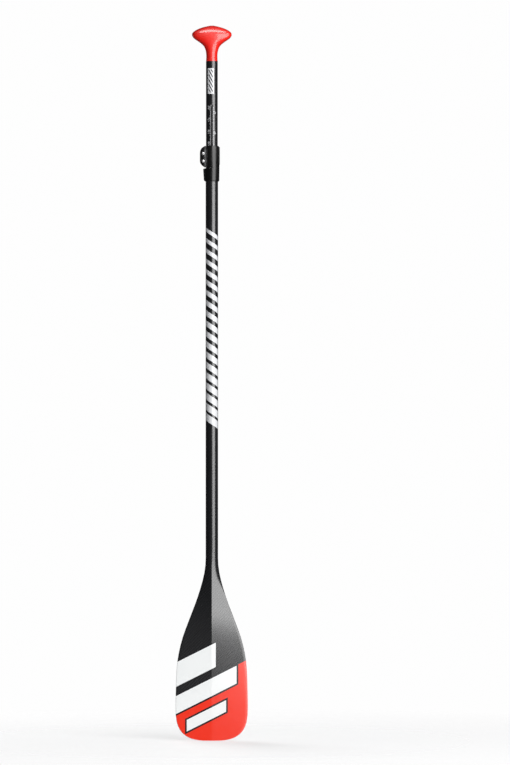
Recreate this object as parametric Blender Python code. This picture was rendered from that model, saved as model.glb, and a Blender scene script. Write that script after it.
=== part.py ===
"""Adjustable single blade paddle: a foam cored blade, a carbon shaft, a lever clamp and a telescopic
extension that ends in a palm grip.

The paddle stands upright. Z is up along the shaft, X runs across the blade and -Y is its front face.
The origin is on the flat at the blade's tip, on the back skin's part of it. The blade leans forward from
the shaft, so the shaft's axis stands SHAFT_Y behind the tip. Lengths are in metres, and MM turns
millimetres into metres.
Every piece is drawn in axis coordinates: x and y from the shaft's axis, z from the tip.
"""

import math

import bmesh
import bpy
from mathutils import Matrix, Vector

MM = 0.001
TURN = 2 * math.pi
ROUND_STEPS = 56
SMALL_ROUND_STEPS = 24
SMOOTH_ANGLE = math.radians(32)
GAP = 0.3 * MM

# Blade
BLADE_LEAN = math.radians(10)
BEND_Z = 425 * MM
BEND_REACH = 40 * MM
TIP_REST_OFFSET = 1.2 * MM
SHAFT_Y = math.tan(BLADE_LEAN) * BEND_Z - TIP_REST_OFFSET
NECK_TOP = 466 * MM
CORNER_Z = 85 * MM
CORNER_POWER = 3.0
TIP_CUT = 0.3 * MM
HALF_WIDTHS = [(85, 89.9), (150, 88.6), (200, 85.0), (250, 74.1), (300, 56.1), (350, 37.1), (400, 22.0),
               (430, 16.7), (455, 15.5)]
THICKNESSES = [(0, 4.8), (60, 7.2), (150, 11), (250, 15), (330, 20), (400, 27), (455, 31.0)]
EDGE_THICKNESS = 3.2 * MM
EDGE_ROUNDNESS = 150
FACET_START, FACET_FULL = 455 * MM, 345 * MM
SKIN = 0.9 * MM
EDGE_WALL = 1.6 * MM
PARTING = 0.15 * MM
SPINE_HALF = 2.0 * MM
CORE_BOTTOM, CORE_TOP = 4 * MM, 436 * MM
SKIN_STEPS = 22
TIP_STATIONS = [0, 1, 2.5, 4.5, 7, 10, 14, 19, 26, 35, 46, 62, 85]
BLADE_STATIONS = TIP_STATIONS + [115, 145, 172, *range(195, 455, 20), 452, 466]

# Shaft and extension
SHAFT_R = 15.5 * MM
TUBE_WALL = 0.75 * MM
BORE_R = SHAFT_R - TUBE_WALL
EXTENSION_R = BORE_R - 0.1 * MM
EXTENSION_BOTTOM, EXTENSION_TOP = 1042 * MM, 1694 * MM
GROOVE_END = 1586 * MM
GROOVE_RUN_OUT = 7 * MM
GROOVE_DEPTH = 1.4 * MM
GROOVE_HALF_ANGLE = math.radians(13)
GROOVE_FLOOR_SHARE = 0.62
FRONT = -math.pi / 2

# Palm grip: height, half width and half depth of its stations, in millimetres
GRIP_STATIONS = [
    (1694.4, 14.6, 14.6), (1699.0, 14.1, 14.3), (1708.0, 13.9, 14.2), (1717.0, 14.7, 14.5),
    (1726.0, 17.1, 15.2), (1733.5, 21.4, 16.1), (1740.0, 28.6, 17.0), (1746.0, 37.4, 17.8),
    (1751.0, 44.2, 18.2), (1756.0, 48.3, 18.3), (1761.0, 49.7, 17.5), (1766.0, 47.9, 16.1),
    (1771.0, 42.0, 13.9), (1775.5, 33.2, 11.0), (1779.5, 22.0, 7.5), (1782.3, 10.0, 4.0),
    (1783.4, 4.0, 1.8),
]
GRIP_STEPS = 2
GRIP_SQUARENESS = 2.3
SPIGOT_BOTTOM, SPIGOT_TOP = 1648 * MM, 1731 * MM

# Clamp. Its heights are measured from its lower end.
CLAMP_BOTTOM = 1393.7 * MM
CLAMP_HEIGHT = 88.5 * MM
CLAMP_TOP = CLAMP_BOTTOM + CLAMP_HEIGHT
SHAFT_TOP = CLAMP_BOTTOM + 33.6 * MM
CLAMP_R = 19.0 * MM
COLLAR_R = 17.4 * MM
SLOT_HEIGHTS = (32.5, 35.6)
SLOT_ANGLES = (128, 280)
RELIEF_ANGLES = (-13, 158)
LEVER_HEIGHTS = (42, 86)
SCREW_X = -21.5 * MM
SCREW_HEIGHTS = {"upper": 69.3, "lower": 50.6}
SCREW_R = 2.0 * MM
SCREW_HOLE_R = 2.3 * MM
PIVOT_Y = 12.6 * MM
PIVOT_HEIGHT = 60
PIN_R = 3.0 * MM
PIN_HEIGHTS = (42.6, 82.5)
SLIT_HALF = 1.3 * MM
EAR_FRONT, EAR_BACK = -12.5 * MM, 7.2 * MM
EAR_OUTLINE = [(-10, 88.5), (-17.6, 88.5), (-25.8, 82.8), (-28.8, 77.2), (-29.8, 71),
               (-29.8, 50), (-28.6, 45), (-24.4, 40), (-17.6, 35), (-10, 35)]
RIB_OUTLINE = [(-12, 1.5), (-19.9, 2), (-21.8, 31.5), (-12, 31.5)]
HEAD_SEAT_Y = -9.0 * MM
KEY_HEIGHTS = (55, 81)
KEY_HALF = 1.5 * MM


def clamp_z(height):
    """The height of a point that is so many millimetres above the clamp's lower end."""
    return CLAMP_BOTTOM + height * MM


def material(name, colour, roughness, metallic=0.0):
    """A Principled material that holds one part's colour and finish."""
    made = bpy.data.materials.new(name)
    made.use_nodes = True
    shader = made.node_tree.nodes["Principled BSDF"]
    shader.inputs["Base Color"].default_value = (*colour, 1.0)
    shader.inputs["Roughness"].default_value = roughness
    shader.inputs["Metallic"].default_value = metallic
    made.diffuse_color = (*colour, 1.0)
    return made


def object_from(name, mesh_maker, finish, frame):
    """Links a mesh as an object under frame, an empty whose place is its joint's axis."""
    mesh = bpy.data.meshes.new(name)
    bmesh.ops.recalc_face_normals(mesh_maker, faces=mesh_maker.faces)
    mesh_maker.to_mesh(mesh)
    mesh_maker.free()
    mesh.transform(Matrix.Translation(-Vector(frame["axis_point"])))
    mesh.shade_smooth()
    mesh.set_sharp_from_angle(angle=SMOOTH_ANGLE)
    made = bpy.data.objects.new(name, mesh)
    bpy.context.scene.collection.objects.link(made)
    made.parent = frame
    if finish is None:
        made.hide_render = True
        made.display_type = "WIRE"
    else:
        mesh.materials.append(finish)
    return made


def empty_at(name, point):
    """An empty at a point given in axis coordinates."""
    made = bpy.data.objects.new(name, None)
    bpy.context.scene.collection.objects.link(made)
    made.location = Vector(point) + Vector((0, SHAFT_Y, 0))
    made["axis_point"] = point
    return made


def loft(name, rings, finish, frame):
    """A closed solid through rings that have the same number of points, with its two ends filled."""
    maker = bmesh.new()
    loops = [[maker.verts.new(point) for point in ring] for ring in rings]
    count = len(rings[0])
    for lower, upper in zip(loops, loops[1:]):
        for i in range(count):
            j = (i + 1) % count
            maker.faces.new((lower[i], lower[j], upper[j], upper[i]))
    maker.faces.new(loops[0])
    maker.faces.new(loops[-1])
    return object_from(name, maker, finish, frame)


def turned(name, profile, finish, frame, steps=ROUND_STEPS, centre=(0.0, 0.0)):
    """Spins a closed outline of (radius, height) points about a vertical axis."""
    maker = bmesh.new()
    points = [maker.verts.new((centre[0] + r, centre[1], z)) for r, z in profile]
    face = maker.faces.new(points)
    edges = [edge for edge in face.edges if edge.calc_length() > 0]
    bmesh.ops.delete(maker, geom=[face], context="FACES_ONLY")
    bmesh.ops.spin(
        maker, geom=points + edges, cent=(*centre, 0), axis=(0, 0, 1), angle=TURN, steps=steps, use_merge=True
    )
    bmesh.ops.remove_doubles(maker, verts=maker.verts, dist=1e-7)
    return object_from(name, maker, finish, frame)


def extruded(name, outline, along, finish, frame):
    """Extrudes a flat outline of 3-D points."""
    maker = bmesh.new()
    face = maker.faces.new([maker.verts.new(point) for point in outline])
    grown = bmesh.ops.extrude_face_region(maker, geom=[face])["geom"]
    moved = [item for item in grown if isinstance(item, bmesh.types.BMVert)]
    bmesh.ops.translate(maker, verts=moved, vec=along)
    return object_from(name, maker, finish, frame)


def rod(name, start, end, radius, finish, frame, steps=SMALL_ROUND_STEPS):
    """A round bar between two points."""
    start, end = Vector(start), Vector(end)
    along = end - start
    turn = along.to_track_quat("Z", "Y")
    ring = [
        start + turn @ Vector((radius * math.cos(TURN * k / steps), radius * math.sin(TURN * k / steps), 0))
        for k in range(steps)
    ]
    return extruded(name, ring, along, finish, frame)


def combine(target, other, operation):
    step = target.modifiers.new(f"{operation.lower()}_{other.name}", "BOOLEAN")
    step.operation = operation
    step.object = other


def cut(target, *cutters):
    for cutter in cutters:
        combine(target, cutter, "DIFFERENCE")


def bevelled(target, width, segments=2):
    step = target.modifiers.new("edge_round", "BEVEL")
    step.width = width
    step.segments = segments
    step.limit_method = "ANGLE"
    step.angle_limit = math.radians(40)
    return target


def arc(radius, start, end, steps, centre=(0.0, 0.0)):
    """Points on an arc about centre, between two angles in degrees."""
    angles = [math.radians(start + (end - start) * k / steps) for k in range(steps + 1)]
    return [(centre[0] + radius * math.cos(a), centre[1] + radius * math.sin(a)) for a in angles]


def sector(name, inner, outer, angles, heights, frame):
    """A cutter: part of a thick ring between two radii, two angles in degrees and two heights."""
    steps = 24
    flat = arc(inner, *angles, steps) + arc(outer, angles[1], angles[0], steps)
    outline = [(x, y, heights[0]) for x, y in flat]
    return extruded(name, outline, (0, 0, heights[1] - heights[0]), None, frame)


def ease(low, high, value):
    """0 at low, 1 at high, and smooth between them."""
    t = min(1.0, max(0.0, (value - low) / (high - low)))
    return t * t * (3 - 2 * t)


def through(stations, z):
    """The smooth curve through stations of (height, size) in millimetres, read at z in metres."""
    points = [(a * MM, b * MM) for a, b in stations]
    slopes = []
    for i in range(len(points)):
        (z0, v0), (z1, v1) = points[max(i - 1, 0)], points[min(i + 1, len(points) - 1)]
        slopes.append((v1 - v0) / (z1 - z0))
    slopes[-1] = 0.0
    z = min(max(z, points[0][0]), points[-1][0])
    i = max(k for k in range(len(points) - 1) if points[k][0] <= z)
    (z0, v0), (z1, v1) = points[i], points[i + 1]
    span = z1 - z0
    t = (z - z0) / span
    return (
        (1 + 2 * t) * (1 - t) ** 2 * v0
        + t * (1 - t) ** 2 * span * slopes[i]
        + t * t * (3 - 2 * t) * v1
        + t * t * (t - 1) * span * slopes[i + 1]
    )


def eased(points, steps):
    """A smooth run of points through the given ones, with that many steps in each span."""
    ends = [2 * points[0] - points[1], *points, 2 * points[-1] - points[-2]]
    run = []
    for before, start, stop, after in zip(ends, ends[1:], ends[2:], ends[3:]):
        for k in range(steps):
            t = k / steps
            pull = (stop - before) * t * (1 - t) ** 2 - (after - start) * t * t * (1 - t)
            run.append(start.lerp(stop, t * t * (3 - 2 * t)) + pull / 2)
    return run + [points[-1]]


# Blade ---------------------------------------------------------------------------------------------


def half_width(z):
    """Half of the blade's width: a rounded corner below CORNER_Z, and a smooth curve above it."""
    if z >= CORNER_Z:
        return through(HALF_WIDTHS, z)
    down = (CORNER_Z - z - TIP_CUT) / CORNER_Z
    return HALF_WIDTHS[0][1] * MM * (1 - max(down, 0.0) ** CORNER_POWER) ** (1 / CORNER_POWER)


def middle_y(z):
    """The blade's middle plane, straight below the bend and on the shaft's axis above it."""
    below = BEND_Z - z
    if below <= -BEND_REACH:
        return 0.0
    if below >= BEND_REACH:
        return -math.tan(BLADE_LEAN) * below
    return -math.tan(BLADE_LEAN) * (below + BEND_REACH) ** 2 / (4 * BEND_REACH)


def half_thickness(x, z):
    """Two flat facets that meet at a ridge, running into the round neck."""
    middle = through(THICKNESSES, z) / 2
    share = min(1.0, abs(x) / half_width(z))
    neck = middle * math.sqrt(1 - share * share)
    facet = EDGE_THICKNESS / 2 + (middle - EDGE_THICKNESS / 2) * (1 - share)
    facet *= math.sqrt(max(0.0, 1 - share**EDGE_ROUNDNESS))
    flatness = ease(-FACET_START, -FACET_FULL, -z)
    return neck * (1 - flatness) + facet * flatness


def across(low, high, steps):
    """Places across the blade, closer together towards both ends."""
    return [(low + high) / 2 - (high - low) / 2 * math.cos(math.pi * k / steps) for k in range(steps + 1)]


def skin_ring(z, side):
    """One face's half of the blade's section. side is -1 at the front and 1 at the back."""
    wide, middle = half_width(z), middle_y(z)
    rim = 0.4 * MM
    places = across(-wide, wide, SKIN_STEPS)
    face = [(x, middle + side * max(half_thickness(x, z), PARTING + rim), z) for x in places]
    return face + [(wide, middle + side * PARTING, z), (-wide, middle + side * PARTING, z)]


def inner_ring(z, inset, low=None, high=None, steps=12):
    """The blade's section, moved in from its edge and its faces, between two places across it."""
    edge = half_width(z) - EDGE_WALL - inset
    places = across(-edge if low is None else low, edge if high is None else high, steps)
    depth = [max(half_thickness(x * half_width(z) / edge, z) - SKIN - inset, 0.3 * MM) for x in places]
    middle = middle_y(z)
    front = [(x, middle - d, z) for x, d in zip(places, depth)]
    back = [(x, middle + d, z) for x, d in zip(places, depth)]
    return front + back[::-1]


def core_heights():
    inside = [z * MM for z in BLADE_STATIONS if CORE_BOTTOM < z * MM < CORE_TOP]
    return [CORE_BOTTOM, *inside, CORE_TOP]


def make_blade(frame, carbon, foam, spine_finish):
    hollow_heights = [CORE_BOTTOM - GAP, *core_heights()[1:-1], 440 * MM, 455 * MM, 473 * MM]
    for name, side in (("blade_front_skin", -1), ("blade_back_skin", 1)):
        hollow = loft(f"{name}_hollow", [inner_ring(z, 0.0) for z in hollow_heights], None, frame)
        cut(loft(name, [skin_ring(z * MM, side) for z in BLADE_STATIONS], carbon, frame), hollow)
    edge = SPINE_HALF + GAP
    heights = core_heights()
    spine_rings = [inner_ring(z, GAP, -SPINE_HALF, SPINE_HALF, 4) for z in heights]
    loft("blade_spine", spine_rings, spine_finish, frame)
    for name, side in (("blade_core_left", -1), ("blade_core_right", 1)):
        rings = []
        for z in heights:
            far = half_width(z) - EDGE_WALL - GAP
            low, high = sorted((side * edge, side * far))
            rings.append(inner_ring(z, GAP, low, high, 10))
        loft(name, rings, foam, frame)


# Shaft, extension and grip -------------------------------------------------------------------------


def tube_profile(outer, inner, bottom, top):
    return [(inner, bottom), (outer, bottom), (outer, top), (inner, top)]


def make_shaft(frame, carbon, foam, insert):
    turned("lower_shaft", tube_profile(SHAFT_R, BORE_R, NECK_TOP + GAP, SHAFT_TOP), carbon, frame)
    in_blade, in_shaft = 12.9 * MM, BORE_R - GAP
    foot, head, step = 438 * MM, 526 * MM, NECK_TOP + 2 * GAP
    turned(
        "neck_spigot",
        [
            (9 * MM, foot), (in_blade, foot), (in_blade, step), (in_shaft, step),
            (in_shaft, head), (9 * MM, head),
        ],
        insert,
        frame,
    )
    plug_low, plug_high = 534 * MM, 562 * MM
    plug = [(0, plug_low), (in_shaft, plug_low), (in_shaft, plug_high), (0, plug_high)]
    turned("shaft_foam_plug", plug, foam, frame)


def groove_ring(z, depth, wall):
    """The extension's section at z: a circle with a groove of that depth down its front."""
    half, floor = GROOVE_HALF_ANGLE, GROOVE_HALF_ANGLE * GROOVE_FLOOR_SHARE
    turns = [(-half, 0.0), (-floor, depth), (0.0, depth), (floor, depth)]
    plain = 46
    turns += [(half + (TURN - 2 * half) * k / plain, 0.0) for k in range(plain)]
    ring = []
    for turn, sunk in turns:
        radius = EXTENSION_R - sunk - wall
        ring.append((radius * math.cos(FRONT + turn), radius * math.sin(FRONT + turn), z))
    return ring


def make_extension(frame, carbon, plastic, rubber, insert):
    heights = [
        (EXTENSION_BOTTOM, GROOVE_DEPTH), (GROOVE_END - GROOVE_RUN_OUT, GROOVE_DEPTH),
        (GROOVE_END - GROOVE_RUN_OUT / 2, GROOVE_DEPTH * 0.7), (GROOVE_END, 0.0), (EXTENSION_TOP, 0.0),
    ]
    tube = loft("extension_tube", [groove_ring(z, depth, 0.0) for z, depth in heights], carbon, frame)
    past = {EXTENSION_BOTTOM: -5 * MM, EXTENSION_TOP: 5 * MM}
    bore = [groove_ring(z + past.get(z, 0.0), depth, TUBE_WALL) for z, depth in heights]
    cut(tube, loft("extension_bore", bore, None, frame))

    flange_low, flange_high = 1029 * MM, EXTENSION_BOTTOM - GAP
    ring_low, ring_high = 1033 * MM, 1035.4 * MM
    bush_r, stem_r, seat_r = 14.5 * MM, 11.9 * MM, 12.6 * MM
    turned(
        "extension_end_plug",
        [
            (0, flange_low), (bush_r - 1.5 * MM, flange_low), (bush_r, flange_low + 1.5 * MM),
            (bush_r, ring_low), (seat_r, ring_low), (seat_r, ring_high), (bush_r, ring_high),
            (bush_r, flange_high), (stem_r, flange_high), (stem_r, 1066 * MM), (0, 1066 * MM),
        ],
        plastic,
        frame,
    )
    thick = 0.85 * MM
    middle_r, middle_z = seat_r + GAP + thick, (ring_low + ring_high) / 2
    section = [(middle_r + x, middle_z + z) for x, z in arc(thick, 0, 324, 9)]
    turned("end_plug_seal_ring", section, rubber, frame, steps=40)

    grip_r, tube_r = 10.5 * MM, EXTENSION_R - TUBE_WALL - GAP
    rim = EXTENSION_TOP + 0.2 * MM
    turned(
        "grip_spigot",
        [
            (6 * MM, SPIGOT_BOTTOM), (tube_r, SPIGOT_BOTTOM), (tube_r, rim - GAP), (grip_r, rim - GAP),
            (grip_r, SPIGOT_TOP), (6 * MM, SPIGOT_TOP),
        ],
        insert,
        frame,
    )


def grip_ring(height, wide, deep, steps=32):
    """A squared oval, fuller at the back where the palm rests."""
    power = 2 / GRIP_SQUARENESS
    rise = ease(1715, 1765, height)
    ring = []
    for k in range(steps):
        angle = TURN * k / steps
        c, s = math.cos(angle), math.sin(angle)
        x = math.copysign(abs(c) ** (2 / (2 + (GRIP_SQUARENESS - 2) * rise)), c) * wide
        y = math.copysign(abs(s) ** (power * rise + 1 - rise), s) * deep
        ring.append((x * MM, (y + 1.5 * rise) * MM, height * MM))
    return ring


def make_grip(frame, finish):
    stations = [Vector(station) for station in GRIP_STATIONS]
    grip = loft("palm_grip", [grip_ring(*station) for station in eased(stations, GRIP_STEPS)], finish, frame)
    cut(grip, rod("grip_bore", (0, 0, 1688 * MM), (0, 0, SPIGOT_TOP + GAP), 10.8 * MM, None, frame, 40))


# Clamp ---------------------------------------------------------------------------------------------


def side_outline(points, y):
    """Points of a (side, clamp height) outline in millimetres, in a plane across the clamp."""
    return [(x * MM, y, clamp_z(height)) for x, height in points]


def make_clamp_body(frame, plastic):
    chamfer = 1.5 * MM
    slot_low, slot_high = (clamp_z(height) for height in SLOT_HEIGHTS)
    profile = [
        (12 * MM, CLAMP_BOTTOM), (CLAMP_R - 0.4 * MM - chamfer, CLAMP_BOTTOM),
        (CLAMP_R - 0.4 * MM, CLAMP_BOTTOM + chamfer), (CLAMP_R, clamp_z(30)),
        (CLAMP_R, CLAMP_TOP - 5 * MM), (COLLAR_R + 0.2 * MM, CLAMP_TOP), (12 * MM, CLAMP_TOP),
    ]
    body = turned("clamp_body", profile, plastic, frame)
    past = 6 * MM
    relief = (clamp_z(LEVER_HEIGHTS[0]) - GAP, CLAMP_TOP + past)
    cut(body, sector("lever_relief", COLLAR_R, 26 * MM, RELIEF_ANGLES, relief, frame))

    ear_width = (0, EAR_BACK - EAR_FRONT, 0)
    ears = extruded("ear_block", side_outline(EAR_OUTLINE, EAR_FRONT), ear_width, None, frame)
    bevelled(ears, 1.2 * MM)
    rib = extruded("rib_block", side_outline(RIB_OUTLINE, -8 * MM), (0, 16 * MM, 0), None, frame)
    bevelled(rib, 1.5 * MM)
    combine(body, ears, "UNION")
    combine(body, rib, "UNION")

    below, shoulder, above = (0, 0, CLAMP_BOTTOM - past), (0, 0, SHAFT_TOP + GAP), (0, 0, CLAMP_TOP + past)
    cut(
        body,
        sector("flex_slot", 8 * MM, 34 * MM, SLOT_ANGLES, (slot_low, slot_high), frame),
        rod("shaft_socket", below, shoulder, SHAFT_R + GAP, None, frame, ROUND_STEPS),
        rod("extension_way", below, above, BORE_R + 0.1 * MM, None, frame, ROUND_STEPS),
    )
    slit = [(-34 * MM, -SLIT_HALF), (-34 * MM, SLIT_HALF), (-10 * MM, SLIT_HALF), (-10 * MM, -SLIT_HALF)]
    slit_low = (slot_low + slot_high) / 2
    outline = [(x, y, slit_low) for x, y in slit]
    cut(body, extruded("ear_slit", outline, (0, 0, CLAMP_TOP + past - slit_low), None, frame))
    cut(body, guide_key_block("key_pocket", GAP, None, frame))
    for name, height in SCREW_HEIGHTS.items():
        front, seat, back = (screw_point(y, height) for y in (-20 * MM, HEAD_SEAT_Y, 20 * MM))
        cut(body, rod(f"head_seat_{name}", front, seat, 4.4 * MM, None, frame))
        cut(body, rod(f"screw_hole_{name}", front, back, SCREW_HOLE_R, None, frame))


def screw_point(y, height):
    """A point on a tension screw's axis."""
    return (SCREW_X, y, clamp_z(height))


def guide_key_block(name, clearance, finish, frame):
    """The key that runs in the extension's groove, or the pocket that holds it, larger by a clearance."""
    half, inner, outer = KEY_HALF + clearance, 13.6 * MM - clearance, 16.8 * MM + clearance
    low, high = clamp_z(KEY_HEIGHTS[0]) - clearance, clamp_z(KEY_HEIGHTS[1]) + clearance
    outline = [(-half, -outer, low), (half, -outer, low), (half, -inner, low), (-half, -inner, low)]
    return extruded(name, outline, (0, 0, high - low), finish, frame)


def make_lever(frame, plastic):
    """A band that hugs the back of the collar from the cam at the ears to the far side."""
    inner, outer, hub, cam_offset = COLLAR_R + 0.25 * MM, 20.0 * MM, 5.0 * MM, 0.2 * MM
    centre = (SCREW_X, PIVOT_Y - cam_offset)
    flat = arc(inner, -8, 153, 22) + arc(hub, 270, 95, 14, centre) + arc(outer, 115, -6, 20)
    low, high = (clamp_z(height) for height in LEVER_HEIGHTS)
    outline = [(x, y, low) for x, y in flat]
    lever = extruded("clamp_lever", outline, (0, 0, high - low), plastic, frame)
    side = [(24, 39), (24, 87), (-15, 87), *EAR_OUTLINE[2:8], (-20, 36)]
    block = extruded("lever_side", side_outline(side, -30 * MM), (0, 60 * MM, 0), None, frame)
    combine(lever, block, "INTERSECT")
    for name, height in SCREW_HEIGHTS.items():
        ends = (screw_point(PIVOT_Y, height + reach) for reach in (-4.2, 4.2))
        cut(lever, rod(f"lever_slot_{name}", *ends, 6.6 * MM, None, frame))
    ends = (screw_point(PIVOT_Y, height) for height in (LEVER_HEIGHTS[0] - 5, LEVER_HEIGHTS[1] + 5))
    cut(lever, rod("pin_bore", *ends, PIN_R + GAP, None, frame))


def make_clamp_hardware(frame, steel, plastic):
    ends = (screw_point(PIVOT_Y, height) for height in PIN_HEIGHTS)
    pin = rod("lever_pivot_pin", *ends, PIN_R, steel, frame)
    washer_front, washer_back = HEAD_SEAT_Y - 0.9 * MM, HEAD_SEAT_Y - 0.15 * MM
    head_front, head_back = -13.9 * MM, washer_front - GAP
    for name, height in SCREW_HEIGHTS.items():
        def bar(label, front, back, radius, finish=None, steps=SMALL_ROUND_STEPS):
            ends = screw_point(front, height), screw_point(back, height)
            return rod(f"{label}_{name}", *ends, radius, finish, frame, steps)

        screw = bevelled(bar("tension_screw", head_front, head_back, 3.5 * MM, steel), 1.1 * MM, 3)
        combine(screw, bar("shank", head_back - 1 * MM, 17 * MM, SCREW_R), "UNION")
        cut(screw, bar("hex_socket", head_front - 2 * MM, head_front + 1.8 * MM, 1.5 * MM, steps=6))
        washer = bar("screw_washer", washer_front, washer_back, 4.0 * MM, steel)
        hole = bar("screw_way", -12 * MM, 20 * MM, SCREW_HOLE_R)
        cut(washer, hole)
        cut(pin, hole)
    guide_key_block("guide_key", 0.0, plastic, frame)


def main():
    for old in list(bpy.data.objects):
        bpy.data.objects.remove(old, do_unlink=True)

    carbon = material("satin_carbon", (0.02, 0.02, 0.022), 0.35)
    painted = material("painted_blade", (0.9, 0.06, 0.03), 0.3)
    foam = material("core_foam", (0.8, 0.77, 0.62), 0.9)
    spine_finish = material("laminate", (0.05, 0.05, 0.05), 0.5)
    grip_red = material("red_grip", (0.85, 0.03, 0.02), 0.25)
    black_plastic = material("black_nylon", (0.018, 0.018, 0.02), 0.45)
    grey_plastic = material("grey_acetal", (0.35, 0.35, 0.36), 0.5)
    steel = material("stainless_steel", (0.75, 0.75, 0.76), 0.25, 1.0)
    rubber = material("seal_rubber", (0.03, 0.03, 0.03), 0.8)

    paddle = empty_at("paddle_frame", (0, 0, 0))
    extension = empty_at("extension_slide", (0, 0, CLAMP_TOP))
    lever = empty_at("lever_hinge", screw_point(PIVOT_Y, PIVOT_HEIGHT))

    make_blade(paddle, painted, foam, spine_finish)
    make_shaft(paddle, carbon, foam, grey_plastic)
    make_clamp_body(paddle, black_plastic)
    make_clamp_hardware(paddle, steel, grey_plastic)
    make_lever(lever, black_plastic)
    make_extension(extension, carbon, black_plastic, rubber, grey_plastic)
    make_grip(extension, grip_red)


main()
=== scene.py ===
"""Looks for the adjustable single blade paddle: materials, printed scale, studio and camera.

Lengths are in metres, in the CAD's frame: Z up along the shaft, X across the blade, and -Y out of
its front.
"""

import math

import bmesh
import bpy
from mathutils import Matrix, Vector


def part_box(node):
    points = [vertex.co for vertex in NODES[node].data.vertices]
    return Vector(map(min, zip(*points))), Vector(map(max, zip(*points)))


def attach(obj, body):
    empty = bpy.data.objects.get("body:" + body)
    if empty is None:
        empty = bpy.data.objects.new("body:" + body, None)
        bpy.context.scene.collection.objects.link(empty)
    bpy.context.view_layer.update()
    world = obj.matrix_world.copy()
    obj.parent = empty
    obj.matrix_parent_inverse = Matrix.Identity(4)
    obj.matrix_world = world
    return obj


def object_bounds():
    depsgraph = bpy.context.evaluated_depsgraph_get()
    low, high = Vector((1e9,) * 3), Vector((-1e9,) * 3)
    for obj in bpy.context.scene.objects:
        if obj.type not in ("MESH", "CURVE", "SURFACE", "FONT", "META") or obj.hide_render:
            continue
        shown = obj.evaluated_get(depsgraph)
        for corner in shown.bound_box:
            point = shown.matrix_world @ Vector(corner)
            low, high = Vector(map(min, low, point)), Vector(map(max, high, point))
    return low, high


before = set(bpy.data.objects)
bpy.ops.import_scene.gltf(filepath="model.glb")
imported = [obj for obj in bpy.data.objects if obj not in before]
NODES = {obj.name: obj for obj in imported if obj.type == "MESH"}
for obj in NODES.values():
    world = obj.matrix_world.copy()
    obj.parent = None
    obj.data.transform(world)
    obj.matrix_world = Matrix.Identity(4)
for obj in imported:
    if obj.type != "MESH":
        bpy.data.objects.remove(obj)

cad_low, cad_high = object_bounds()

MM = 0.001


def middle_of(node):
    low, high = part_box(node)
    return (Vector(low) + Vector(high)) / 2


AXIS_Y = middle_of("lower_shaft").y
SHAFT_R = (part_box("lower_shaft")[1][0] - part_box("lower_shaft")[0][0]) / 2
EXTENSION_R = (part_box("extension_tube")[1][0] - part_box("extension_tube")[0][0]) / 2
NECK_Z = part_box("lower_shaft")[0][2]
CLAMP_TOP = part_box("clamp_body")[1][2]
TOP_Z = cad_high.z

INK_WHITE = (0.76, 0.77, 0.79)
PAINT_RED = (0.92, 0.030, 0.008)
PAINT_BLACK = (0.012, 0.012, 0.014)
PAINT_WHITE = (0.93, 0.95, 0.945)
CLEAR_COAT_ROUGHNESS = 0.19
TOW = 2.0 * MM

# The blade's front. Each stripe is (from x, to x, low, high), with its heights taken at x = 0.
STRIPE_SLOPE = 0.5
RED_FIELD_TOP = 0.155
OUTLINE = 0.0042
STRIPES = [
    (-0.140, 0.010, 0.177, 0.237),
    (-0.140, 0.062, 0.110, 0.154),
    (-0.062, 0.036, 0.0534, 0.082),
]

# The blade's back, as seen from behind: across it, then up. The heights of the fields are taken at
# its middle. Each slash is (foot, low, high, width at its foot, width at its top), where foot is
# the place of its left corner at low.
BACK_SLOPE = 0.24
COLLAR_LOW, COLLAR_HIGH = 0.3655, 0.4147
TIP_RED_TOP = 0.0215
BACK_LINE = 0.0055
BACK_WEDGE = [(-0.110, 0.262), (-0.038, 0.232), (-0.014, 0.330), (-0.014, 0.400), (-0.060, 0.400)]
SLASH_LEAN = 0.24
BACK_SLASHES = [
    (-0.093, 0.040, 0.232, 0.004, 0.013),
    (-0.058, 0.026, 0.128, 0.013, 0.003),
    (-0.044, 0.128, 0.216, 0.003, 0.011),
    (-0.018, 0.036, 0.226, 0.004, 0.012),
    (0.004, 0.232, 0.352, 0.010, 0.003),
    (0.012, 0.030, 0.118, 0.010, 0.003),
    (0.020, 0.130, 0.262, 0.003, 0.014),
    (0.040, 0.040, 0.176, 0.012, 0.003),
    (0.066, 0.040, 0.150, 0.004, 0.012),
]

# The shaft's print: heights above the neck, and half widths round the tube.
BOLD_LOW, BOLD_HIGH = NECK_Z + 0.313, NECK_Z + 0.811
BOLD_PITCH, BOLD_HALF, BOLD_LEAN = 0.0262, 0.019, 0.62
BOLD_SHARE_LOW, BOLD_SHARE_HIGH = 0.74, 0.38
FINE_LOW, FINE_HIGH = NECK_Z + 0.115, NECK_Z + 0.257
FINE_PITCH, FINE_SHARE, FINE_LEAN = 0.0142, 0.64, -0.8
SHAFT_LABEL_LOW, SHAFT_LABEL_HIGH = NECK_Z + 0.261, NECK_Z + 0.337
SHAFT_LABEL_HALF, SHAFT_LABEL_INNER_HALF = 0.0087, 0.0058
LABEL_BORDER = 0.003
SPECK, SPECK_SHARE = 0.0029, 0.55

# The clamp's painted sheen beside the screws, a lighter patch that stands for the key light's
# reflection there, and its polished ear, each edge as the places where its fade starts and ends.
SHEEN_LEFT, SHEEN_RIGHT = (-0.0210, -0.0175), (-0.0095, -0.0145)
SHEEN_FOOT = (CLAMP_TOP - 0.054, CLAMP_TOP - 0.042)
SHEEN_HEAD = (CLAMP_TOP - 0.004, CLAMP_TOP - 0.014)
EAR_EDGE, EAR_ROUGHNESS = (-0.0190, -0.0205), 0.14

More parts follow.
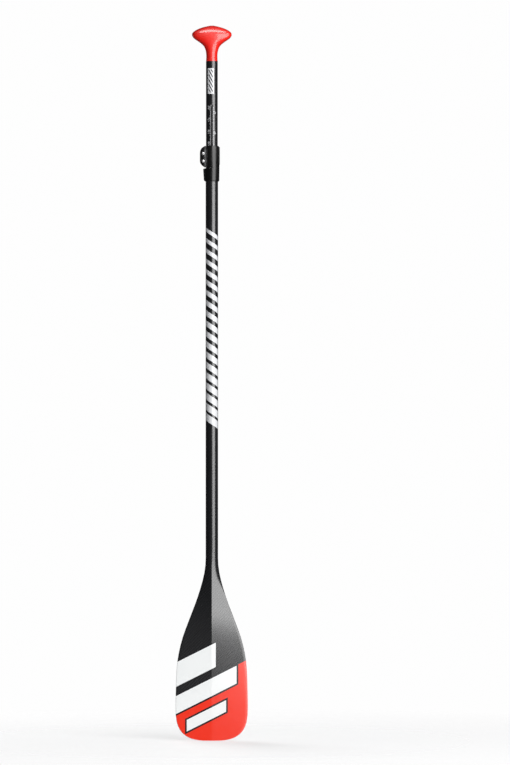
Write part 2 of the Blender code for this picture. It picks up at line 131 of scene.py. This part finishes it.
# The extension's label, as (from, to) round the tube, and its waves in radians a metre.
LABEL_LOW, LABEL_HIGH = CLAMP_TOP + 0.130, CLAMP_TOP + 0.194
LABEL_INNER_LOW, LABEL_INNER_HIGH = CLAMP_TOP + 0.133, CLAMP_TOP + 0.191
LABEL_ACROSS, LABEL_INNER_ACROSS = (-0.0108, 0.0052), (-0.0086, 0.0030)
WAVES_UP, WAVES_ROUND, WAVE_CREST = 520.0, 900.0, 0.2

# The extension's scale: two rails, ticks as (pitch, length) that point away from the groove, and
# numbers. SCALE_AT_REST is what it reads at the clamp's top edge, as the part is drawn.
SCALE_TOP = CLAMP_TOP + 0.098
SCALE_BOTTOM = CLAMP_TOP - 0.320
SCALE_AT_REST = 1.785
TICK_START = CLAMP_TOP + 0.005
TICKS = ((0.005, 0.0008), (0.010, 0.0014), (0.050, 0.0020))
TICK_HALF = 0.0004
TICK_ROOT = 0.0036
RAIL_INNER, RAIL_OUTER = 0.0033, 0.0037
NUMBER_HEIGHT = 5.0 * MM
NUMBER_OFFSET = 7.8 * MM
CAP_SHARE = 0.7
INK_LIFT = 0.06 * MM
INK_FILM = 0.04 * MM
INCH = 0.0254

CREASE = math.radians(32)
WELD = 0.01 * MM
RIDGE_BAND = 0.1 * MM
EDGE_ROUNDING = 0.35 * MM


# Node graphs --------------------------------------------------------------------------------------


class Graph:
    """Builds one material's nodes. Its calls return sockets, and take sockets or plain numbers."""

    def __init__(self, name):
        self.material = bpy.data.materials.new(name)
        self.material.use_nodes = True
        self.nodes = self.material.node_tree.nodes
        self.links = self.material.node_tree.links
        self.shader = self.nodes["Principled BSDF"]
        place = self.nodes.new("ShaderNodeTexCoord").outputs["Object"]
        split = self.add("ShaderNodeSeparateXYZ", {0: place})
        self.place = place
        self.x, self.y, self.z = split.outputs

    def add(self, kind, inputs=None, **settings):
        node = self.nodes.new(kind)
        for key, value in settings.items():
            setattr(node, key, value)
        for key, value in (inputs or {}).items():
            self.feed(node.inputs[key], value)
        return node

    def feed(self, socket, value):
        if isinstance(value, bpy.types.NodeSocket):
            self.links.new(value, socket)
        elif isinstance(value, tuple) and len(value) == 3 and socket.type == "RGBA":
            socket.default_value = (*value, 1.0)
        else:
            socket.default_value = value

    def math(self, operation, *values):
        inputs = dict(enumerate(values))
        return self.add("ShaderNodeMath", inputs, operation=operation).outputs[0]

    def sum(self, *terms):
        total = terms[0]
        for term in terms[1:]:
            total = self.math("ADD", total, term)
        return total

    def weighted(self, *pairs):
        """The sum of value times weight over pairs of them."""
        return self.sum(*[self.math("MULTIPLY", value, weight) for value, weight in pairs])

    def above(self, value, limit):
        return self.math("GREATER_THAN", value, limit)

    def below(self, value, limit):
        return self.math("LESS_THAN", value, limit)

    def both(self, *masks):
        total = masks[0]
        for mask in masks[1:]:
            total = self.math("MULTIPLY", total, mask)
        return total

    def either(self, *masks):
        total = masks[0]
        for mask in masks[1:]:
            total = self.math("MAXIMUM", total, mask)
        return total

    def ramp(self, value, low, high, start=0.0, stop=1.0):
        """Maps low to high onto start to stop, and holds the ends."""
        inputs = {
            "Value": value, "From Min": low, "From Max": high, "To Min": start, "To Max": stop,
        }
        return self.add("ShaderNodeMapRange", inputs).outputs[0]

    def mix(self, factor, first, second):
        """Mixes two colours."""
        inputs = {0: factor, 6: first, 7: second}
        return self.add("ShaderNodeMix", inputs, data_type="RGBA").outputs[2]

    def blend(self, factor, first, second):
        """Mixes two numbers."""
        return self.add("ShaderNodeMix", {0: factor, 2: first, 3: second}).outputs[0]

    def noise(self, scale, detail=3.0, roughness=0.5, stretch=None):
        vector = self.place
        if stretch:
            inputs = {0: vector, 1: stretch}
            vector = self.add("ShaderNodeVectorMath", inputs, operation="MULTIPLY").outputs[0]
        inputs = {"Vector": vector, "Scale": scale, "Detail": detail, "Roughness": roughness}
        return self.add("ShaderNodeTexNoise", inputs).outputs[0]

    def bump(self, height, distance, strength=1.0, normal=None):
        inputs = {"Height": height, "Distance": distance, "Strength": strength}
        if normal is not None:
            inputs["Normal"] = normal
        return self.add("ShaderNodeBump", inputs).outputs[0]

    def around(self, radius, facing):
        """Distance round a tube from its front (facing -1) or back (facing 1), positive to +X."""
        depth = self.math("MULTIPLY", self.math("SUBTRACT", self.y, AXIS_Y), facing)
        return self.math("MULTIPLY", self.math("ARCTAN2", self.x, depth), radius)

    def inside(self, points, u, v):
        """Mask of a convex polygon given in metres, with its corners in either order."""
        sides = list(zip(points, points[1:] + points[:1]))
        area = sum(a[0] * b[1] - b[0] * a[1] for a, b in sides)
        masks = []
        for (u0, v0), (u1, v1) in sides:
            du, dv = u1 - u0, v1 - v0
            if area < 0:
                du, dv = -du, -dv
            masks.append(self.above(self.weighted((v, du), (u, -dv)), v0 * du - u0 * dv))
        return self.both(*masks)

    def set(self, **values):
        """Sets the shader's sockets by name, with underscores for spaces."""
        for key, value in values.items():
            self.feed(self.shader.inputs[key.replace("_", " ")], value)
        return self.material


def twill(graph, u, v):
    """(lift, warp) of a two by two twill.

    lift is each tow's rounded height, and warp is 1 where the tow on top runs along v.
    """
    column, row = graph.math("DIVIDE", u, TOW), graph.math("DIVIDE", v, TOW)
    step = graph.math("SUBTRACT", graph.math("FLOOR", column), graph.math("FLOOR", row))
    phase = graph.math("FLOORED_MODULO", step, 4.0)
    warp = graph.below(phase, 1.5)
    over_warp = graph.math("SINE", graph.math("MULTIPLY", graph.math("FRACT", column), math.pi))
    over_weft = graph.math("SINE", graph.math("MULTIPLY", graph.math("FRACT", row), math.pi))
    return graph.blend(warp, over_weft, over_warp), warp


def carbon_look(graph, u, v, relief=0.35):
    """(colour, roughness, normal) of clear coated carbon cloth, with a painted sheen on its tows
    and painted shade at their edges.
    """
    lift, warp = twill(graph, u, v)
    streaks = graph.noise(900.0, 2.0, 0.6, (1.0, 1.0, 0.12))
    # Painted sheen and shade: tows along v are lighter than those across them, and each tow darkens
    # towards its edges; the streaks are the cloth's own uneven tone.
    shade = graph.blend(warp, 0.35, 1.0)
    shade = graph.math("MULTIPLY", shade, graph.ramp(streaks, 0.3, 0.7, 0.75, 1.2))
    shade = graph.math("MULTIPLY", shade, graph.ramp(lift, 0.0, 1.0, 0.35, 1.0))
    colour = graph.mix(shade, (0.0015, 0.0015, 0.0018), (0.016, 0.0165, 0.018))
    roughness = graph.blend(warp, 0.34, 0.22)
    return colour, roughness, graph.bump(lift, 0.05 * MM, relief)


# Blade --------------------------------------------------------------------------------------------


def blade_base(name):
    graph = Graph(name)
    colour, roughness, normal = carbon_look(graph, graph.x, graph.z, relief=0.2)
    return graph, colour, roughness, normal


def finish_blade(graph, cloth, cloth_roughness, cloth_normal, paint, painted):
    """Lays the paint over the cloth, with an uneven gloss, under one clear coat."""
    wear = graph.noise(60.0, 5.0, 0.65)
    colour = graph.mix(painted, cloth, paint)
    ripple = graph.noise(420.0, 2.0)
    paint_roughness = graph.ramp(wear, 0.3, 0.75, 0.18, 0.27)
    return graph.set(
        Base_Color=colour,
        Roughness=graph.blend(painted, cloth_roughness, paint_roughness),
        Normal=graph.bump(ripple, 0.02 * MM, 0.15, cloth_normal),
        Coat_Weight=1.0,
        Coat_Roughness=CLEAR_COAT_ROUGHNESS,
    )


def front_blade():
    """Bare cloth above a red field, with three slanting white stripes that are cut off upright."""
    graph, cloth, roughness, normal = blade_base("blade_front_print")
    rise = graph.weighted((graph.z, 1.0), (graph.x, -STRIPE_SLOPE))
    red_field = graph.below(rise, RED_FIELD_TOP)

    def stripes(grow):
        """Mask of the stripes, each grown by that much on every side."""
        climb = grow * math.hypot(1.0, STRIPE_SLOPE)
        return graph.either(*[
            graph.both(
                graph.above(graph.x, start - grow), graph.below(graph.x, stop + grow),
                graph.above(rise, low - climb), graph.below(rise, high + climb),
            )
            for start, stop, low, high in STRIPES
        ])

    outline = stripes(OUTLINE)
    paint = graph.mix(outline, PAINT_RED, PAINT_BLACK)
    paint = graph.mix(stripes(0.0), paint, PAINT_WHITE)
    painted = graph.either(red_field, outline)
    return finish_blade(graph, cloth, roughness, normal, paint, painted)


def back_blade():
    """A red collar over a white field with slanting black slashes, and a red tip."""
    graph, cloth, roughness, normal = blade_base("blade_back_print")
    u, z = graph.math("MULTIPLY", graph.x, -1.0), graph.z
    rise = graph.weighted((z, 1.0), (u, -BACK_SLOPE))
    white = graph.both(
        graph.below(rise, COLLAR_LOW - BACK_LINE), graph.above(rise, TIP_RED_TOP + BACK_LINE)
    )
    collar = graph.both(graph.below(rise, COLLAR_HIGH), graph.above(rise, COLLAR_LOW))
    red = graph.either(collar, graph.below(rise, TIP_RED_TOP))
    marks = [graph.inside(BACK_WEDGE, u, z)]
    for start, low, high, low_width, high_width in BACK_SLASHES:
        end = start + SLASH_LEAN * (high - low)
        corners = [
            (start, low), (start + low_width, low), (end + high_width, high), (end, high),
        ]
        marks.append(graph.inside(corners, u, z))
    white = graph.both(white, graph.math("SUBTRACT", 1.0, graph.either(*marks)))
    paint = graph.mix(red, graph.mix(white, PAINT_BLACK, PAINT_WHITE), PAINT_RED)
    painted = graph.below(rise, COLLAR_HIGH)
    return finish_blade(graph, cloth, roughness, normal, paint, painted)


# Tubes --------------------------------------------------------------------------------------------


def slashes(graph, around, low, high, pitch, share, half_width, lean):
    """Mask of slanting stripes up a tube.

    share is the inked part of the pitch, as a number or a socket.
    """
    place = graph.weighted((graph.z, 1 / pitch), (around, lean / pitch))
    inked = graph.below(graph.math("FRACT", place), share)
    run = graph.both(graph.above(place, low / pitch), graph.below(place, high / pitch))
    return graph.both(inked, run, graph.below(graph.math("ABSOLUTE", around), half_width))


def box_mask(graph, across, low, high):
    """Mask of a rectangle. across is (distance round the tube, from, to)."""
    around, start, stop = across
    return graph.both(
        graph.above(around, start), graph.below(around, stop),
        graph.above(graph.z, low), graph.below(graph.z, high),
    )


def finish_tube(graph, cloth, roughness, normal, ink):
    """Lays the ink over the cloth, with faint scratches and a hazy gloss, under a clear coat."""
    haze = graph.noise(9.0, 5.0, 0.62)
    scratches = graph.noise(260.0, 2.0, 0.7, (1.0, 1.0, 0.04))
    lift = graph.bump(ink, 0.03 * MM, 0.6, normal)
    worn = graph.math("MULTIPLY", graph.ramp(scratches, 0.60, 0.74), 0.05)
    colour = graph.mix(ink, graph.mix(worn, cloth, (0.12, 0.12, 0.125)), INK_WHITE)
    bare_roughness = graph.sum(roughness, graph.ramp(haze, 0.35, 0.7, -0.03, 0.05))
    return graph.set(
        Base_Color=colour,
        Roughness=graph.blend(ink, bare_roughness, 0.42),
        Normal=lift,
        Coat_Weight=1.0,
        Coat_Roughness=CLEAR_COAT_ROUGHNESS,
        Coat_IOR=1.5,
    )


def shaft_carbon():
    """Bold slashes up the front, and a label of small squares over fine slashes on the back."""
    graph = Graph("shaft_print")
    front, back = graph.around(SHAFT_R, -1.0), graph.around(SHAFT_R, 1.0)
    cloth, roughness, normal = carbon_look(graph, front, graph.z)
    share = graph.ramp(graph.z, BOLD_LOW, BOLD_HIGH, BOLD_SHARE_LOW, BOLD_SHARE_HIGH)
    bold = slashes(graph, front, BOLD_LOW, BOLD_HIGH, BOLD_PITCH, share, BOLD_HALF, BOLD_LEAN)

    across = (back, -SHAFT_LABEL_HALF, SHAFT_LABEL_HALF)
    label = box_mask(graph, across, SHAFT_LABEL_LOW, SHAFT_LABEL_HIGH)
    cells = [graph.math("FLOOR", graph.math("DIVIDE", value, SPECK)) for value in (back, graph.z)]
    cell = graph.add("ShaderNodeCombineXYZ", {0: cells[0], 1: cells[1]}).outputs[0]
    speck = graph.add("ShaderNodeTexWhiteNoise", {0: cell}, noise_dimensions="3D").outputs[0]
    across = (back, -SHAFT_LABEL_INNER_HALF, SHAFT_LABEL_INNER_HALF)
    low, high = SHAFT_LABEL_LOW + LABEL_BORDER, SHAFT_LABEL_HIGH - LABEL_BORDER
    holes = graph.both(box_mask(graph, across, low, high), graph.above(speck, SPECK_SHARE))
    label = graph.both(label, graph.math("SUBTRACT", 1.0, holes))
    fine = slashes(
        graph, back, FINE_LOW, FINE_HIGH, FINE_PITCH, FINE_SHARE, SHAFT_LABEL_HALF, FINE_LEAN
    )
    return finish_tube(graph, cloth, roughness, normal, graph.either(bold, label, fine))


def extension_carbon():
    """A label of slanting waves under the grip, and the scale's rails and ticks below it."""
    graph = Graph("extension_print")
    front = graph.around(EXTENSION_R, -1.0)
    cloth, roughness, normal = carbon_look(graph, front, graph.z)
    label = box_mask(graph, (front, *LABEL_ACROSS), LABEL_LOW, LABEL_HIGH)
    waves = graph.math("SINE", graph.weighted((graph.z, WAVES_UP), (front, WAVES_ROUND)))
    inner = box_mask(graph, (front, *LABEL_INNER_ACROSS), LABEL_INNER_LOW, LABEL_INNER_HIGH)
    holes = graph.both(inner, graph.above(waves, WAVE_CREST))
    label = graph.both(label, graph.math("SUBTRACT", 1.0, holes))

    height = graph.math("SUBTRACT", graph.z, TICK_START)
    side = graph.math("ABSOLUTE", front)
    marks = []
    for pitch, reach in TICKS:
        place = graph.math("FRACT", graph.sum(graph.math("DIVIDE", height, pitch), 0.5))
        off_tick = graph.math("ABSOLUTE", graph.math("SUBTRACT", place, 0.5))
        near = graph.below(off_tick, TICK_HALF / pitch)
        marks.append(
            graph.both(near, graph.above(side, TICK_ROOT), graph.below(side, TICK_ROOT + reach))
        )
    rail = graph.both(graph.above(side, RAIL_INNER), graph.below(side, RAIL_OUTER))
    run = graph.both(graph.below(graph.z, SCALE_TOP), graph.above(graph.z, SCALE_BOTTOM))
    ink = graph.either(label, graph.both(run, graph.either(rail, *marks)))
    return finish_tube(graph, cloth, roughness, normal, ink)


# Moulded parts and fittings -----------------------------------------------------------------------


def grip_plastic():
    """Gloss red plastic with a fine orange peel and handling marks, and a painted highlight that
    makes it slightly paler to its top.
    """
    graph = Graph("grip_red_plastic")
    cloud = graph.noise(22.0, 4.0, 0.6)
    rise = graph.ramp(graph.z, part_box("palm_grip")[0][2], TOP_Z, 0.0, 1.0)
    colour = graph.mix(graph.ramp(cloud, 0.3, 0.7), (0.78, 0.009, 0.004), (0.90, 0.015, 0.006))
    # Painted highlight: the red pales towards the top of the grip.
    colour = graph.mix(graph.math("MULTIPLY", rise, 0.25), colour, (0.93, 0.022, 0.010))
    peel = graph.noise(700.0, 2.0)
    rub = graph.noise(90.0, 6.0, 0.7)
    return graph.set(
        Base_Color=colour,
        Roughness=graph.ramp(rub, 0.3, 0.8, 0.36, 0.48),
        Normal=graph.bump(peel, 0.04 * MM, 0.10),
        Coat_Weight=0.8,
        Coat_Roughness=0.10,
    )


def black_nylon(name, tone, painted_sheen_and_ear=False):
    """Spark grained black nylon of that grey tone, polished lighter on its edges.

    Its last argument, when true, paints a lighter, mottled patch beside the tension screws as a
    painted reflection of the key light, and polishes its ear.
    """
    graph = Graph(name)
    grain = graph.noise(2600.0, 2.0, 0.6)
    cloud = graph.noise(45.0, 3.0)
    edges = graph.add("ShaderNodeNewGeometry").outputs["Pointiness"]
    worn = graph.ramp(edges, 0.54, 0.62)
    deep, pale = (0.75 * tone,) * 3, (1.25 * tone,) * 3
    colour = graph.mix(graph.ramp(cloud, 0.3, 0.7), deep, pale)
    colour = graph.mix(graph.math("MULTIPLY", worn, 0.5), colour, (0.05, 0.05, 0.053))
    roughness = graph.ramp(cloud, 0.3, 0.7, 0.26, 0.35)
    if painted_sheen_and_ear:
        # Painted reflection: a lighter, mottled patch beside the screws stands in for the key light
        # caught there.
        sheen_mottle = graph.ramp(graph.noise(420.0, 5.0, 0.75, (1.0, 1.0, 0.6)), 0.40, 0.62)
        beside = graph.both(
            graph.ramp(graph.x, *SHEEN_LEFT), graph.ramp(graph.x, *SHEEN_RIGHT),
            graph.ramp(graph.z, *SHEEN_FOOT), graph.ramp(graph.z, *SHEEN_HEAD),
            graph.below(graph.y, AXIS_Y),
        )
        colour = graph.mix(graph.both(sheen_mottle, beside), colour, (0.14, 0.14, 0.145))
        roughness = graph.blend(graph.ramp(graph.x, *EAR_EDGE), roughness, EAR_ROUGHNESS)
    return graph.set(
        Base_Color=colour,
        Roughness=roughness,
        Normal=graph.bump(grain, 0.05 * MM, 0.35),
        Specular_IOR_Level=0.5,
    )


def turned_steel(name):
    """Stainless steel with fine, uneven turning marks."""
    graph = Graph(name)
    marks = graph.noise(3000.0, 2.0, 0.6, (0.3, 1.0, 0.3))
    return graph.set(
        Base_Color=(0.60, 0.60, 0.61),
        Metallic=1.0,
        Roughness=graph.ramp(marks, 0.3, 0.7, 0.34, 0.48),
        Normal=graph.bump(marks, 0.01 * MM, 0.3),
    )


def foam(name):
    graph = Graph(name)
    inputs = {"Vector": graph.place, "Scale": 900.0}
    cells = graph.add("ShaderNodeTexVoronoi", inputs).outputs["Distance"]
    # Painted shade: each cell darkens towards the middle of its pit.
    colour = graph.mix(graph.ramp(cells, 0.1, 0.6), (0.62, 0.58, 0.44), (0.80, 0.76, 0.62))
    return graph.set(Base_Color=colour, Roughness=0.9, Normal=graph.bump(cells, 0.2 * MM, 0.6))


def moulded_grey(name, colour):
    graph = Graph(name)
    cloud = graph.noise(120.0, 4.0)
    dark = tuple(0.8 * value for value in colour)
    return graph.set(
        Base_Color=graph.mix(cloud, dark, colour),
        Roughness=graph.ramp(cloud, 0.3, 0.7, 0.45, 0.6),
        Normal=graph.bump(graph.noise(1800.0), 0.03 * MM, 0.3),
    )


def seal_rubber():
    graph = Graph("seal_ring_rubber")
    bloom = graph.noise(300.0, 5.0)
    colour = graph.mix(bloom, (0.012, 0.012, 0.012), (0.035, 0.034, 0.033))
    return graph.set(Base_Color=colour, Roughness=0.75, Normal=graph.bump(bloom, 0.05 * MM, 0.3))


def dress(material, *nodes):
    for node in nodes:
        slots = NODES[node].data.materials
        slots.clear()
        slots.append(material)


def angle_shading(name, keep_ridge):
    """Geometry nodes that shade a mesh smooth, except across its creases.

    keep_ridge leaves the edges along the middle, at X = 0, sharp too.
    """
    group = bpy.data.node_groups.new(name, "GeometryNodeTree")
    group.is_modifier = True
    for in_out in ("INPUT", "OUTPUT"):
        group.interface.new_socket("Geometry", in_out=in_out, socket_type="NodeSocketGeometry")

    def math_node(operation, first, second):
        node = group.nodes.new("ShaderNodeMath")
        node.operation = operation
        for socket, value in zip(node.inputs, (first, second)):
            if isinstance(value, bpy.types.NodeSocket):
                group.links.new(value, socket)
            else:
                socket.default_value = value
        return node.outputs[0]

    angle = group.nodes.new("GeometryNodeInputMeshEdgeAngle").outputs["Unsigned Angle"]
    sharp = math_node("GREATER_THAN", angle, CREASE)
    if keep_ridge:
        split = group.nodes.new("ShaderNodeSeparateXYZ")
        group.links.new(group.nodes.new("GeometryNodeInputPosition").outputs[0], split.inputs[0])
        off_ridge = math_node("ABSOLUTE", split.outputs["X"], 0.0)
        sharp = math_node("MAXIMUM", sharp, math_node("LESS_THAN", off_ridge, RIDGE_BAND))
    enter, leave = group.nodes.new("NodeGroupInput"), group.nodes.new("NodeGroupOutput")
    shade = group.nodes.new("GeometryNodeSetMeshNormal")
    group.links.new(enter.outputs[0], shade.inputs["Mesh"])
    group.links.new(sharp, shade.inputs["Edge Sharpness"])
    group.links.new(shade.outputs[0], leave.inputs[0])
    return group


def smooth_all(rounded, ridged):
    """Welds each solid's split faces and shades it smooth.

    The nodes in rounded get rounded edges, and those in ridged keep their ridge.
    """
    plain, with_ridge = angle_shading("angle_shading", False), angle_shading("ridge_shading", True)
    for name, node in NODES.items():
        weld = node.modifiers.new("weld", "WELD")
        weld.merge_threshold = WELD
        if name in rounded:
            edge = node.modifiers.new("worn_edges", "BEVEL")
            edge.width, edge.segments = EDGE_ROUNDING, 2
            edge.limit_method, edge.angle_limit = "ANGLE", CREASE
        shading = node.modifiers.new("angle_shading", "NODES")
        shading.node_group = with_ridge if name in ridged else plain
        if name in rounded:
            node.modifiers.new("flat_faces", "WEIGHTED_NORMAL").keep_sharp = True


dress(front_blade(), "blade_front_skin")
dress(back_blade(), "blade_back_skin")
dress(shaft_carbon(), "lower_shaft")
dress(extension_carbon(), "extension_tube")
dress(grip_plastic(), "palm_grip")
dress(black_nylon("clamp_body_nylon", 0.004, painted_sheen_and_ear=True), "clamp_body")
dress(black_nylon("clamp_lever_nylon", 0.005), "clamp_lever", "extension_end_plug")
dress(turned_steel("screw_steel"), "tension_screw_upper", "tension_screw_lower", "lever_pivot_pin")
dress(turned_steel("washer_steel"), "screw_washer_upper", "screw_washer_lower")
dress(foam("core_foam_cells"), "blade_core_left", "blade_core_right", "shaft_foam_plug")
dress(moulded_grey("spine_laminate", (0.06, 0.06, 0.065)), "blade_spine")
ferrule = moulded_grey("ferrule_plastic", (0.36, 0.36, 0.37))
dress(ferrule, "neck_spigot", "grip_spigot", "guide_key")
dress(seal_rubber(), "end_plug_seal_ring")
smooth_all(("clamp_body", "clamp_lever"), ("blade_front_skin", "blade_back_skin"))


# Printed numbers ----------------------------------------------------------------------------------


def add_number(maker, number, centre_around, centre_z):
    """Adds a number to maker, flat, reading up the tube: x is distance round it and z is height."""
    curve = bpy.data.curves.new("number", "FONT")
    curve.body = str(number)
    curve.size = NUMBER_HEIGHT / CAP_SHARE
    curve.align_x, curve.align_y = "CENTER", "CENTER"
    curve.resolution_u = 3
    holder = bpy.data.objects.new("number", curve)
    mesh = bpy.data.meshes.new_from_object(holder)
    turn = Matrix(((0, -1, 0, centre_around), (0, 0, 0, 0), (1, 0, 0, centre_z), (0, 0, 0, 1)))
    mesh.transform(turn)
    maker.from_mesh(mesh)
    bpy.data.objects.remove(holder)
    bpy.data.curves.remove(curve)
    bpy.data.meshes.remove(mesh)


def make_scale_numbers():
    """Centimetres down the scale's left and inches down its right, read at the clamp's top edge."""
    maker = bmesh.new()
    # Below the clamp they come every 6 cm, so that at rest none shows in the clamp's flex slot.
    for centimetres in (*range(169, 182, 3), *range(187, 209, 6)):
        z = CLAMP_TOP + SCALE_AT_REST - centimetres / 100
        add_number(maker, centimetres, -NUMBER_OFFSET, z)
    for inches in range(67, 82, 2):
        z = CLAMP_TOP + SCALE_AT_REST - inches * INCH
        add_number(maker, inches, NUMBER_OFFSET, z)
    # Cuts along the tube let the flat numbers bend round it.
    reach, step = 0.012, 0.0008
    for k in range(int(2 * reach / step) + 1):
        everything = maker.verts[:] + maker.edges[:] + maker.faces[:]
        place = (-reach + k * step, 0, 0)
        bmesh.ops.bisect_plane(
            maker, geom=everything, dist=1e-7, plane_co=place, plane_no=(1, 0, 0)
        )
    radius = EXTENSION_R + INK_LIFT
    for vert in maker.verts:
        angle = vert.co.x / EXTENSION_R
        vert.co = Vector((radius * math.sin(angle), AXIS_Y - radius * math.cos(angle), vert.co.z))
    mesh = bpy.data.meshes.new("scale_numbers")
    maker.to_mesh(mesh)
    maker.free()
    numbers = bpy.data.objects.new("scale_numbers", mesh)
    bpy.context.scene.collection.objects.link(numbers)
    graph = Graph("number_ink")
    cloud = graph.noise(800.0)
    white = graph.mix(cloud, (0.74, 0.75, 0.77), (0.86, 0.87, 0.89))
    mesh.materials.append(graph.set(Base_Color=white, Roughness=0.45))
    thickness = numbers.modifiers.new("ink_film", "SOLIDIFY")
    thickness.thickness = INK_FILM
    thickness.offset = -1
    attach(numbers, "extension")


make_scale_numbers()


# Studio -------------------------------------------------------------------------------------------


CAMERA_DISTANCE = 14.0
FRAME_HEIGHT = 1.9133
FRAME_CENTRE = Vector((0.1079, 0.0, 0.8909))

# (name, azimuth, elevation, distance, width, height, watts). Azimuth 0 is in front of the paddle
# and 90 is at +X. A matt only light is left out of reflections, and a gloss only one shows in
# reflections alone.
LIGHTS = (
    ("key_right", 36, 16, 3.2, 2.8, 3.4, 148),
    ("key_behind", 209, 16, 3.2, 2.3, 3.4, 150),
    ("strip_behind", 209, 16, 3.2, 0.5, 3.4, 8),
    ("fill_front", 13, 16, 3.2, 0.9, 3.4, 9),
    ("fill_soft", -10, 25, 3.2, 2.5, 2.5, 13),
    ("top", 4, 66, 2.6, 1.8, 0.65, 32),
)
LIGHTS_MATT_ONLY = ("key_behind", "fill_soft")
LIGHTS_GLOSS_ONLY = ("top",)
LIGHT_TARGET_Z = 0.9

SEEN_WHITE = (0.99, 0.99, 0.99, 1)
AMBIENT, AMBIENT_STRENGTH = (0.9, 0.93, 1.0, 1), 0.035

FLOOR_RADIUS = 1.6
FLOOR_GAP = 0.0005
FLOOR_FADE_START, FLOOR_FADE_END = 0.25, 1.4
FLOOR_ALPHA = 0.40


def make_camera():
    data = bpy.data.cameras.new("photo_camera")
    camera = bpy.data.objects.new("photo_camera", data)
    bpy.context.scene.collection.objects.link(camera)
    data.sensor_width = 36.0
    data.lens = data.sensor_width * CAMERA_DISTANCE / FRAME_HEIGHT
    data.clip_end = 60.0
    camera.location = FRAME_CENTRE + Vector((0, AXIS_Y - CAMERA_DISTANCE, 0))
    camera.rotation_euler = (math.radians(90), 0, 0)
    bpy.context.scene.camera = camera


def area_light(name, azimuth, elevation, distance, width, height, watts):
    """A soft box that looks at the middle of the paddle."""
    data = bpy.data.lights.new(name, "AREA")
    data.shape = "RECTANGLE"
    data.size, data.size_y = width, height
    data.energy = watts
    light = bpy.data.objects.new(name, data)
    bpy.context.scene.collection.objects.link(light)
    a, e = math.radians(azimuth), math.radians(elevation)
    out = Vector((math.sin(a) * math.cos(e), -math.cos(a) * math.cos(e), math.sin(e)))
    target = Vector((0, AXIS_Y, LIGHT_TARGET_Z))
    light.location = target + out * distance
    light.rotation_euler = (-out).to_track_quat("-Z", "Y").to_euler()
    light.visible_camera = False
    light.visible_glossy = name not in LIGHTS_MATT_ONLY
    light.visible_diffuse = name not in LIGHTS_GLOSS_ONLY


def make_world():
    """White where the camera sees it, and only a dim ambient light on the paddle."""
    world = bpy.data.worlds.new("white_studio")
    bpy.context.scene.world = world
    world.use_nodes = True
    nodes, links = world.node_tree.nodes, world.node_tree.links
    seen, lit = nodes["Background"], nodes.new("ShaderNodeBackground")
    seen.inputs["Color"].default_value = SEEN_WHITE
    seen.inputs["Strength"].default_value = 1.0
    lit.inputs["Color"].default_value = AMBIENT
    lit.inputs["Strength"].default_value = AMBIENT_STRENGTH
    path, mix = nodes.new("ShaderNodeLightPath"), nodes.new("ShaderNodeMixShader")
    links.new(path.outputs["Is Camera Ray"], mix.inputs[0])
    links.new(lit.outputs[0], mix.inputs[1])
    links.new(seen.outputs[0], mix.inputs[2])
    links.new(mix.outputs[0], nodes["World Output"].inputs["Surface"])


def make_floor():
    """A pale disc that fades out at its rim."""
    mesh = bpy.data.meshes.new("floor")
    maker = bmesh.new()
    bmesh.ops.create_circle(maker, cap_ends=True, segments=96, radius=FLOOR_RADIUS)
    maker.to_mesh(mesh)
    maker.free()
    floor = bpy.data.objects.new("floor", mesh)
    bpy.context.scene.collection.objects.link(floor)
    floor.location = (0, 0, cad_low.z - FLOOR_GAP)
    graph = Graph("pale_floor")
    graph.set(Base_Color=(0.92, 0.92, 0.93), Roughness=0.6, Specular_IOR_Level=0.2)
    squares = graph.math("POWER", graph.x, 2.0), graph.math("POWER", graph.y, 2.0)
    distance = graph.math("SQRT", graph.sum(*squares))
    fade = graph.ramp(distance, FLOOR_FADE_START, FLOOR_FADE_END, FLOOR_ALPHA, 0.0)
    mesh.materials.append(graph.set(Alpha=fade))


make_camera()
make_world()
make_floor()
for light_settings in LIGHTS:
    area_light(*light_settings)
bpy.context.scene.view_settings.view_transform = "Standard"
